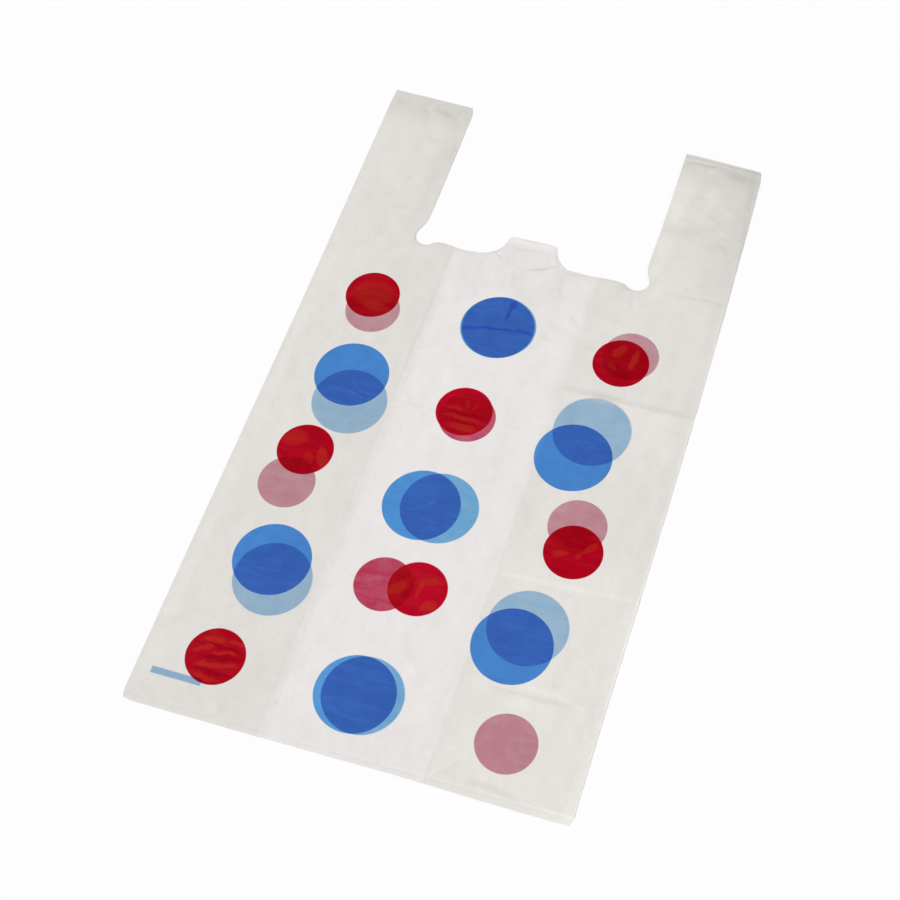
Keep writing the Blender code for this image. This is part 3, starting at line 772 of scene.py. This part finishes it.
def painted_fold_light_and_shade(x, height, drift):
    """Painted light and shade of the front along its folds, welds and cut edges: the painted highlights less the
    painted shade.
    """
    # painted shade along the gussets' inner folds, where the front sinks beside them
    painted_shade = (x + drift * 0.3).line(LEFT_TIP + 0.3, 2.2) * height.ramp(190, 330) * 0.05
    painted_shade = painted_shade + (x + drift * 0.2).line(RIGHT_TIP, 1.3) * height.ramp(30, 14) * 0.06
    # painted shade and a painted highlight along the pack folds
    painted_shade = painted_shade + height.ramp(311, 303.5) * height.ramp(302, 303.5) * x.ramp(44, 66) * 0.040
    painted_shade = painted_shade + height.line(404.3, 2.2) * x.ramp(88, 96) * 0.012
    painted_shade = painted_shade + height.line(73, 5) * x.ramp(90, 110) * 0.012
    light = (height - (x - 100) * 0.045).line(154.8, 3.2) * x.ramp(54, 66) * 0.055
    # painted highlights along the bottom weld, its corners and the edge below it; darker towards the lower left
    light = light + (height - x.ramp(10, 60)).line(4.8, 1.3) * 0.045
    light = light + x.ramp(112, 138) * height.ramp(8.5, 6) * 0.055
    light = light + height.ramp(2.6, -0.4) * 0.035
    painted_shade = painted_shade + x.ramp(-60, -90) * height.ramp(50, 20) * 0.018
    # painted light along the right edge, set against the edge's own shadow
    light = light + x.ramp(138, 145) * height.ramp(170, 140) * 0.045
    rim = x - height.ramp(60, 300, 148.6, 150.4) + height.ramp(6.5, 4) * 1.2
    light = light + rim.ramp(-1, 0) * height.ramp(400, 340) * 0.16
    # painted shade along the mouth's hem, and painted light and a painted dark line at the top of the right handle
    hem = x.ramp(-76, -66) * x.ramp(-27, -38) + x.ramp(24, 34) * x.ramp(86, 77)
    painted_shade = painted_shade + height.line(401.6, 3) * hem * 0.022
    light = light + height.ramp(529.5, 532) * x.ramp(80, 90) * 0.025
    painted_shade = painted_shade + (height + (x - 88.6) * 0.0625).line(536.1, 1.5) * x.ramp(80, 90) * 0.105
    return light - painted_shade


def bare_film(shader, see_sides):
    """The film's own colour, darker over the gussets, and its tone: soft clouds, darker towards the handle tops, and
    painted light and shade along the front's folds, welds and edges and at the tab.
    """
    colours = bpy.context.scene.bag_colours
    x, height = shader.x / MM, (shader.y + middle_height()) / MM
    drift = (shader.noise(38, 1) - 0.5) * 1.6
    clouds = shader.noise(34, 3, 0.62, 0.8)
    wisps = shader.noise(75, 3, 0.6, 1.6, shader.mapped(shader.place, 0.5, 1, 1.4))
    tone = 1.0 + (clouds - 0.5) * 0.085 + (wisps - 0.5) * 0.060
    right_soft = height.ramp(200, 260, 1.2, 4)
    sides = (x + drift).ramp(LEFT_TIP + 1.6, LEFT_TIP - 0.4)
    sides = sides + ((x + drift * 1.5 - RIGHT_TIP) / right_soft).ramp(-1, 1)
    base = shader.colour(sides, colours.centre_film, colours.side_film)

    low_right = x.ramp(48, 60) * height.ramp(303.5, 301)
    tone = tone + x.ramp(48, 100) * height.ramp(450, 330) * 0.022
    tone = tone + low_right * (0.030 - height.ramp(160, 200) * height.ramp(290, 240) * 0.035)
    arms = height.ramp(395, 440)
    tone = tone - arms * x.ramp(-20, 0) * (x.ramp(112, 140) * 0.07 + height.ramp(495, 532) * 0.11)
    tone = tone - arms * x.ramp(0, -20) * (height.ramp(505, 532) * 0.09 + 0.008)
    middle = height.ramp(415, 330, -0.012, 0.02) - height.line(380, 26) * 0.014
    middle = middle - height.ramp(45, 15) * 0.018
    tone = tone + x.ramp(-57, -40) * x.ramp(54, 40) * middle
    if see_sides:
        # painted light and shade along the folds, welds and edges of the front
        tone = tone + painted_fold_light_and_shade(x, height, drift)
    else:
        single = height.ramp(415.6, 416.6) * 0.02 + height.ramp(417.5, 422) * 0.055
        # painted shade and highlights at the top of the tab
        tone = tone + single * abs(x).ramp(26, 24) + shader.strokes(TAB_SHADE_AND_HIGHLIGHTS, shader.place) * 0.01
    return base, tone, sides, x, height


def guide_bar(x, height):
    """One on the printed bar, zero beside it."""
    left, right, middle, width = GUIDE_BAR
    bar = height.line(middle, width / 2 + 0.5).ramp(0.0, 0.35)
    return bar * x.ramp(left - 0.3, left + 0.3) * x.ramp(right + 0.3, right - 0.3)


def seen_through(shader, sides):
    """The far side's red and blue, paler through the four plies of the sides."""
    colours = bpy.context.scene.bag_colours
    return (
        shader.colour(sides, colours.red_through_centre, colours.red_through_sides),
        shader.colour(sides, colours.blue_through_centre, colours.blue_through_sides),
    )


def front_material():
    """Front film: the print on it, and the back's print seen through it."""
    colours = bpy.context.scene.bag_colours
    shader = Shader("printed_front_film", colours.roughness)
    film, tone, sides, x, height = bare_film(shader, True)
    centre = 1.0 - sides

    through_red, through_blue = shader.dots(BACK_RED, BACK_BLUE, 0.7)
    bar = guide_bar(x, height)

    cling = shader.cling()
    streaks = shader.noise(24, 2, 0.5, 2.2, shader.mapped(shader.place, -0.06, 0.6, 3.4)).ramp(0.50, 0.62)
    haze = shader.noise(70, 3, 0.6, 0.5)
    mottle = shader.noise(48, 3, 0.6, 1.2)

    red_seen, blue_seen = seen_through(shader, sides)
    milky = (cling - 0.5) * 0.22 + (haze - 0.5) * 0.24
    red_seen = shader.colour((milky + height / 2800.0 - centre * 0.016).over(0), red_seen, film)
    lift = sides * 0.05 * (1.0 - bar) + centre * height.ramp(120, 70) * 0.04
    lift = lift + x.ramp(50, 58) * height.ramp(296.5, 304) * 0.24
    blue_seen = shader.colour((milky * (1.0 - bar) + lift).over(0), blue_seen, film)
    through_blue = through_blue.over(shader.disc(DRAWN_UP, BLUE_RADIUS, 1.6))
    colour = shader.colour(through_red, film, red_seen)
    colour = shader.colour(through_blue.over(bar), colour, blue_seen)
    # painted shade and light along the creases; the inks below take it too
    creased = shader.strokes(CREASES, shader.wavy(110, 3.2)) * 0.015
    colour = shader.times(colour, tone + creased)

    red, blue = shader.dots(FRONT_RED, FRONT_BLUE, 0.5)
    marked = shader.wavy(150, 5)
    glints, bands = shader.strokes(INK_GLINTS, marked, 1.2, 0.65), shader.strokes(INK_BANDS, marked, 1.25, 0.6)
    lit = (glints * 0.70 + streaks * 0.14).under(1)
    red_ink = shader.colour(centre, colours.red_ink, RED_MIDDLE)
    red_ink = shader.colour(lit, red_ink, RED_LIT)
    under = shader.colour(centre, RED_OVER_RED, RED_OVER_RED_MIDDLE)
    under = shader.colour(lit, under, RED_OVER_RED_LIT)
    red_ink = shader.colour(through_red * 0.85, red_ink, under)
    red_ink = shader.colour(bands.under(1) * 0.65, red_ink, RED_WRINKLE)
    red_ink = shader.colour(bar * 0.75, red_ink, RED_OVER_BAR)
    fresh = (cling - 0.35) * 0.7 + centre * (0.8 + height.ramp(95, 70) * 1.4)
    blue_ink = shader.colour(fresh, colours.blue_ink, BLUE_MIDDLE)
    blue_ink = shader.colour(centre * height.ramp(95, 70) * 0.35, blue_ink, BLUE_MIDDLE_LOW)
    overlap = shader.colour((streaks * 0.4 + glints * 0.8).under(1), BLUE_OVER_BLUE, BLUE_OVER_BLUE_LIT)
    overlap = shader.colour(bands.under(1), overlap, BLUE_OVER_BLUE_WRINKLE)
    blue_ink = shader.colour(through_blue, blue_ink, overlap)
    grain = 1.0 + (mottle - 0.5) * 0.32 + creased
    colour = shader.colour(red, colour, shader.times(red_ink, grain + (cling - 0.5) * 0.25))
    colour = shader.colour(blue, colour, shader.times(blue_ink, grain))
    finish_film(shader, colour, red.over(blue), cling, x, height)
    return shader.material


def back_material():
    """Back film: its own print, and plain film between."""
    colours = bpy.context.scene.bag_colours
    shader = Shader("printed_back_film", colours.roughness)
    film, tone, sides, x, height = bare_film(shader, False)
    cling = shader.cling()
    red, blue = shader.dots(BACK_RED, BACK_BLUE, 0.5)
    bar = guide_bar(x, height)
    through_red, through_blue = shader.dots(FRONT_RED, FRONT_BLUE, 0.7)
    red_seen, blue_seen = seen_through(shader, sides)
    colour = shader.colour(through_red, film, red_seen)
    colour = shader.times(shader.colour(through_blue, colour, blue_seen), tone)
    red_ink = shader.colour(through_red * 0.8, colours.red_ink, BACK_RED_OVER_RED)
    blue_ink = shader.colour(through_blue, colours.blue_ink, BACK_BLUE_OVER_BLUE)
    colour = shader.colour(red, colour, red_ink)
    colour = shader.colour(blue.over(bar), colour, blue_ink)
    finish_film(shader, colour, red.over(blue), cling, x, height)
    return shader.material


def gusset_material():
    """Plain film of the gussets."""
    shader = Shader("plain_gusset_film", bpy.context.scene.bag_colours.roughness)
    film, tone, sides, x, height = bare_film(shader, False)
    cling = shader.cling()
    finish_film(shader, shader.times(film, tone), None, cling, x, height)
    return shader.material


def finish_film(shader, colour, ink, cling, x, height):
    """Colour, sheen and the fine relief that all film shares."""
    shader.feed(shader.principled.inputs["Base Color"], colour)
    sheen = bpy.context.scene.bag_colours.roughness + (cling - 0.5) * 0.22
    if ink is not None:
        sheen = sheen - ink * 0.05
    shader.feed(shader.principled.inputs["Roughness"], sheen)
    crumple = shader.noise(62.0, 3.0, 0.55, 0.25, shader.mapped(shader.place, 0.4, 1.0, 1.35))
    weld = height.line(4.4, 0.9)
    perforation = shader.disc((0.0, 436.0), 37.6, 0.4) - shader.disc((0.0, 436.0), 36.8, 0.4)
    perforation = perforation * abs(x).ramp(26.0, 24.0) * height.ramp(412.0, 409.0)
    relief = crumple + cling * 0.35 - weld * 0.3 - perforation * 0.3
    bump = shader.add("ShaderNodeBump", {}, {"Strength": 0.6, "Distance": 0.0012, "Height": relief})
    shader.feed(shader.principled.inputs["Normal"], bump.outputs[0])


# --- operators ------------------------------------------------------------------------------------


def added(name, data):
    """A new object with its data, linked to the scene."""
    made = bpy.data.objects.new(name, data)
    bpy.context.scene.collection.objects.link(made)
    return made


class BAG_OT_film(bpy.types.Operator):
    """Makes the film of the bag, with its folds, print and welds"""

    bl_idname = "bag.film"
    bl_label = "Film"

    def execute(self, context):
        places, quads, slots = bag_mesh()
        places[:, 1] -= middle_height()
        places[:, 2] += context.scene.bag_shape.film_thickness
        mesh = bpy.data.meshes.new("bag_film")
        mesh.from_pydata(places, [], quads)
        for material in (front_material(), gusset_material(), back_material()):
            mesh.materials.append(material)
        mesh.polygons.foreach_set("material_index", slots)
        mesh.polygons.foreach_set("use_smooth", np.ones(len(quads), bool))
        mesh.update()
        mesh.set_sharp_from_angle(angle=math.radians(20))
        edges = np.empty(len(mesh.loops), np.int32)
        mesh.loops.foreach_get("edge_index", edges)
        sharp = np.empty(len(mesh.edges), bool)
        mesh.edges.foreach_get("use_edge_sharp", sharp)
        mesh.edges.foreach_set("use_edge_sharp", sharp | (np.bincount(edges, minlength=len(sharp)) == 1))
        film = added("bag_film", mesh)
        wall = film.modifiers.new("film_thickness", "SOLIDIFY")
        wall.thickness = context.scene.bag_shape.film_thickness
        wall.offset = -1.0
        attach(film, "root")
        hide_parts("carrier_bag")
        return {"FINISHED"}


class BAG_OT_stage(bpy.types.Operator):
    """Makes the floor, the lights and the camera"""

    bl_idname = "bag.stage"
    bl_label = "Stage"

    def execute(self, context):
        studio = context.scene.bag_studio
        half = 6.0  # of the floor's side
        mesh = bpy.data.meshes.new("studio_floor")
        mesh.from_pydata([(-half, -half, 0), (half, -half, 0), (half, half, 0), (-half, half, 0)], [], [(0, 1, 2, 3)])
        floor = added("studio_floor", mesh)
        paper = bpy.data.materials.new("studio_paper")
        paper.use_nodes = True
        shader = paper.node_tree.nodes["Principled BSDF"]
        shader.inputs["Base Color"].default_value = (*studio.floor_tone, 1.0)
        shader.inputs["Roughness"].default_value = 0.9
        shader.inputs["Specular IOR Level"].default_value = 0.0
        mesh.materials.append(paper)

        world = bpy.data.worlds.new("studio_room")
        context.scene.world = world
        world.use_nodes = True
        nodes, links = world.node_tree.nodes, world.node_tree.links
        background = nodes["Background"]
        background.inputs["Color"].default_value = (1.0, 1.0, 1.0, 1.0)
        path = nodes.new("ShaderNodeLightPath")
        sky = nodes.new("ShaderNodeTexCoord")
        towards = nodes.new("ShaderNodeVectorMath")
        towards.operation = "DOT_PRODUCT"
        towards.inputs[1].default_value = (-0.21, 0.48, 0.85)
        ceiling = nodes.new("ShaderNodeMapRange")
        ceiling.interpolation_type = "SMOOTHSTEP"
        for socket, value in (("From Min", 0.30), ("From Max", 0.88), ("To Min", studio.room_light),
                              ("To Max", studio.ceiling_light)):
            ceiling.inputs[socket].default_value = value
        strength = nodes.new("ShaderNodeMix")
        strength.inputs[3].default_value = 1.0
        links.new(sky.outputs["Generated"], towards.inputs[0])
        links.new(towards.outputs["Value"], ceiling.inputs["Value"])
        links.new(path.outputs["Is Camera Ray"], strength.inputs[0])
        links.new(ceiling.outputs["Result"], strength.inputs[2])
        links.new(strength.outputs[0], background.inputs["Strength"])

        lamp = bpy.data.lights.new("key", "SUN")
        lamp.energy = studio.key_light
        lamp.angle = math.radians(28)
        light = added("key", lamp)
        light.rotation_euler = Vector((0.78, -0.28, -0.56)).to_track_quat("-Z", "Y").to_euler()

        lens = bpy.data.cameras.new("photo_camera")
        lens.lens = studio.lens
        lens.sensor_width = 36.0
        lens.clip_start = 0.01
        camera = added("photo_camera", lens)
        aim, up = Vector(studio.camera_aim).normalized(), Vector(studio.camera_up)
        side = aim.cross(up).normalized()
        turn = Matrix((side, side.cross(aim), -aim)).transposed().to_4x4()
        camera.matrix_world = Matrix.Translation(studio.camera_place) @ turn
        context.scene.camera = camera
        context.scene.view_settings.view_transform = "Standard"
        return {"FINISHED"}


class BAG_PT_looks(bpy.types.Panel):
    """Lists what makes the bag's looks"""

    bl_idname = "BAG_PT_looks"
    bl_label = "Carrier Bag"
    bl_space_type = "VIEW_3D"
    bl_region_type = "UI"
    bl_category = "Bag"

    def draw(self, context):
        for kind in OPERATORS:
            self.layout.operator(kind.bl_idname)
        for group, label in ((context.scene.bag_shape, "Shape"), (context.scene.bag_colours, "Colours"),
                             (context.scene.bag_studio, "Studio")):
            box = self.layout.box()
            box.label(text=label)
            for name in group.__annotations__:
                box.prop(group, name)


GROUPS = (("bag_shape", BagShape), ("bag_colours", BagColours), ("bag_studio", Studio))
OPERATORS = (BAG_OT_stage, BAG_OT_film)


def register():
    for name, group in GROUPS:
        bpy.utils.register_class(group)
        setattr(bpy.types.Scene, name, bpy.props.PointerProperty(type=group))
    for kind in (*OPERATORS, BAG_PT_looks):
        bpy.utils.register_class(kind)


def unregister():
    for kind in (BAG_PT_looks, *reversed(OPERATORS)):
        bpy.utils.unregister_class(kind)
    for name, group in reversed(GROUPS):
        delattr(bpy.types.Scene, name)
        bpy.utils.unregister_class(group)


def main():
    register()
    bpy.ops.bag.stage()
    bpy.ops.bag.film()


if __name__ == "__main__":
    main()
